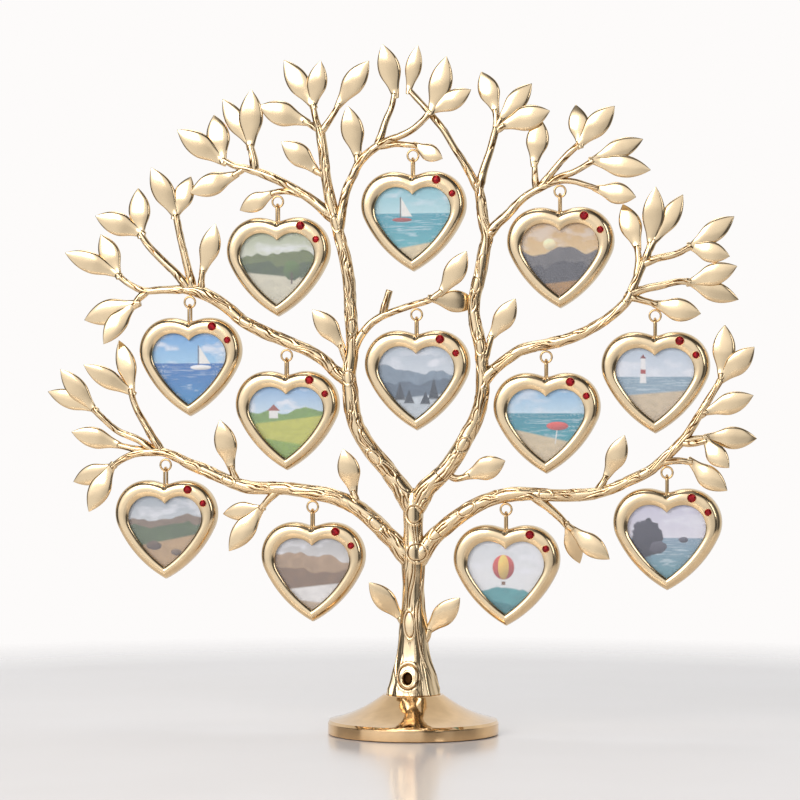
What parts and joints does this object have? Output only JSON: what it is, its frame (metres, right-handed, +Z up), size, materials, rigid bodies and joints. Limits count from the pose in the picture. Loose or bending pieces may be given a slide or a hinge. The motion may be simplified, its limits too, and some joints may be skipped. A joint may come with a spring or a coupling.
{
  "type": "photo tree stand",
  "caption": "Branching metal tree with leaves on a round foot, with small heart-shaped photo frames hanging from its branches on rings and links.",
  "frame": {"origin": "middle of the round foot's underside, on the surface that the stand stands on", "axes": "+Z up along the trunk, +X to the right as seen from the front, the frames face -Y"},
  "size_m": [0.3634, 0.0854, 0.3449],
  "materials": {
    "gold": "polished",
    "gold_wire": "polished",
    "steel": "satin",
    "felt": "matt",
    "window": "gloss",
    "back_plastic": "matt"
  },
  "bodies": {
    "tree": {"base_plate": "gold", "base_felt": "felt", "base_screw": "steel", "trunk": "gold", "left_limb": "gold", "right_limb": "gold", "left_low_branch": "gold", "right_low_branch": "gold", "left_middle_branch": "gold", "right_middle_branch": "gold", "centre_sprig": "gold", "hanging_rings": "gold_wire"},
    "link_01": {"hanger_link_01": "gold_wire"},
    "heart_01": {"heart_bezel_01": "gold", "photo_insert_01": "window", "heart_back_01": "back_plastic"},
    "link_02": {"hanger_link_02": "gold_wire"},
    "heart_02": {"heart_bezel_02": "gold", "photo_insert_02": "window", "heart_back_02": "back_plastic"},
    "link_03": {"hanger_link_03": "gold_wire"},
    "heart_03": {"heart_bezel_03": "gold", "photo_insert_03": "window", "heart_back_03": "back_plastic"},
    "link_04": {"hanger_link_04": "gold_wire"},
    "heart_04": {"heart_bezel_04": "gold", "photo_insert_04": "window", "heart_back_04": "back_plastic"},
    "link_05": {"hanger_link_05": "gold_wire"},
    "heart_05": {"heart_bezel_05": "gold", "photo_insert_05": "window", "heart_back_05": "back_plastic"},
    "link_06": {"hanger_link_06": "gold_wire"},
    "heart_06": {"heart_bezel_06": "gold", "photo_insert_06": "window", "heart_back_06": "back_plastic"},
    "link_07": {"hanger_link_07": "gold_wire"},
    "heart_07": {"heart_bezel_07": "gold", "photo_insert_07": "window", "heart_back_07": "back_plastic"},
    "link_08": {"hanger_link_08": "gold_wire"},
    "heart_08": {"heart_bezel_08": "gold", "photo_insert_08": "window", "heart_back_08": "back_plastic"},
    "link_09": {"hanger_link_09": "gold_wire"},
    "heart_09": {"heart_bezel_09": "gold", "photo_insert_09": "window", "heart_back_09": "back_plastic"},
    "link_10": {"hanger_link_10": "gold_wire"},
    "heart_10": {"heart_bezel_10": "gold", "photo_insert_10": "window", "heart_back_10": "back_plastic"},
    "link_11": {"hanger_link_11": "gold_wire"},
    "heart_11": {"heart_bezel_11": "gold", "photo_insert_11": "window", "heart_back_11": "back_plastic"},
    "link_12": {"hanger_link_12": "gold_wire"},
    "heart_12": {"heart_bezel_12": "gold", "photo_insert_12": "window", "heart_back_12": "back_plastic"}
  },
  "joints": [
    {"name": "link_swing_01", "type": "hinge", "parent": "tree", "child": "link_01", "pos_m": [-0.00014, 0, 0.28621], "axis": [1, 0, 0], "range_deg": [-75, 75]},
    {"name": "heart_tilt_01", "type": "hinge", "parent": "link_01", "child": "heart_01", "pos_m": [-0.00014, 0, 0.27741], "axis": [0, 1, 0], "range_deg": [-14, 17]},
    {"name": "link_swing_02", "type": "hinge", "parent": "tree", "child": "link_02", "pos_m": [-0.06986, 0, 0.26409], "axis": [1, 0, 0], "range_deg": [-75, 75]},
    {"name": "heart_tilt_02", "type": "hinge", "parent": "link_02", "child": "heart_02", "pos_m": [-0.06986, 0, 0.25529], "axis": [0, 1, 0], "range_deg": [-9, 7]},
    {"name": "link_swing_03", "type": "hinge", "parent": "tree", "child": "link_03", "pos_m": [0.07418, 0, 0.26732], "axis": [1, 0, 0], "range_deg": [-75, 75]},
    {"name": "heart_tilt_03", "type": "hinge", "parent": "link_03", "child": "heart_03", "pos_m": [0.07418, 0, 0.25852], "axis": [0, 1, 0], "range_deg": [-11, 2]},
    {"name": "link_swing_04", "type": "hinge", "parent": "tree", "child": "link_04", "pos_m": [-0.11592, 0, 0.2137], "axis": [1, 0, 0], "range_deg": [-75, 75]},
    {"name": "heart_tilt_04", "type": "hinge", "parent": "link_04", "child": "heart_04", "pos_m": [-0.11592, 0, 0.2049], "axis": [0, 1, 0], "range_deg": [-6, 18]},
    {"name": "link_swing_05", "type": "hinge", "parent": "tree", "child": "link_05", "pos_m": [-0.0652, 0, 0.18646], "axis": [1, 0, 0], "range_deg": [-75, 75]},
    {"name": "heart_tilt_05", "type": "hinge", "parent": "link_05", "child": "heart_05", "pos_m": [-0.0652, 0, 0.17766], "axis": [0, 1, 0], "range_deg": [-6, 22]},
    {"name": "link_swing_06", "type": "hinge", "parent": "tree", "child": "link_06", "pos_m": [0.00172, 0, 0.20668], "axis": [1, 0, 0], "range_deg": [-75, 75]},
    {"name": "heart_tilt_06", "type": "hinge", "parent": "link_06", "child": "heart_06", "pos_m": [0.00172, 0, 0.19788], "axis": [0, 1, 0], "range_deg": [-4, 11]},
    {"name": "link_swing_07", "type": "hinge", "parent": "tree", "child": "link_07", "pos_m": [0.06728, 0, 0.18533], "axis": [1, 0, 0], "range_deg": [-75, 75]},
    {"name": "heart_tilt_07", "type": "hinge", "parent": "link_07", "child": "heart_07", "pos_m": [0.06728, 0, 0.17653], "axis": [0, 1, 0], "range_deg": [-22, 7]},
    {"name": "link_swing_08", "type": "hinge", "parent": "tree", "child": "link_08", "pos_m": [0.12144, 0, 0.2054], "axis": [1, 0, 0], "range_deg": [-75, 75]},
    {"name": "heart_tilt_08", "type": "hinge", "parent": "link_08", "child": "heart_08", "pos_m": [0.12144, 0, 0.1966], "axis": [0, 1, 0], "range_deg": [-6, 14]},
    {"name": "link_swing_09", "type": "hinge", "parent": "tree", "child": "link_09", "pos_m": [-0.12868, 0, 0.13096], "axis": [1, 0, 0], "range_deg": [-75, 75]},
    {"name": "heart_tilt_09", "type": "hinge", "parent": "link_09", "child": "heart_09", "pos_m": [-0.12868, 0, 0.12216], "axis": [0, 1, 0], "range_deg": [-11, 16]},
    {"name": "link_swing_10", "type": "hinge", "parent": "tree", "child": "link_10", "pos_m": [-0.05175, 0, 0.11031], "axis": [1, 0, 0], "range_deg": [-75, 75]},
    {"name": "heart_tilt_10", "type": "hinge", "parent": "link_10", "child": "heart_10", "pos_m": [-0.05175, 0, 0.10151], "axis": [0, 1, 0], "range_deg": [-13, 19]},
    {"name": "link_swing_11", "type": "hinge", "parent": "tree", "child": "link_11", "pos_m": [0.04709, 0, 0.1097], "axis": [1, 0, 0], "range_deg": [-75, 75]},
    {"name": "heart_tilt_11", "type": "hinge", "parent": "link_11", "child": "heart_11", "pos_m": [0.04709, 0, 0.1009], "axis": [0, 1, 0], "range_deg": [-9, 11]},
    {"name": "link_swing_12", "type": "hinge", "parent": "tree", "child": "link_12", "pos_m": [0.12731, 0, 0.12838], "axis": [1, 0, 0], "range_deg": [-75, 75]},
    {"name": "heart_tilt_12", "type": "hinge", "parent": "link_12", "child": "heart_12", "pos_m": [0.12731, 0, 0.11958], "axis": [0, 1, 0], "range_deg": [-5, 7]}
  ]
}
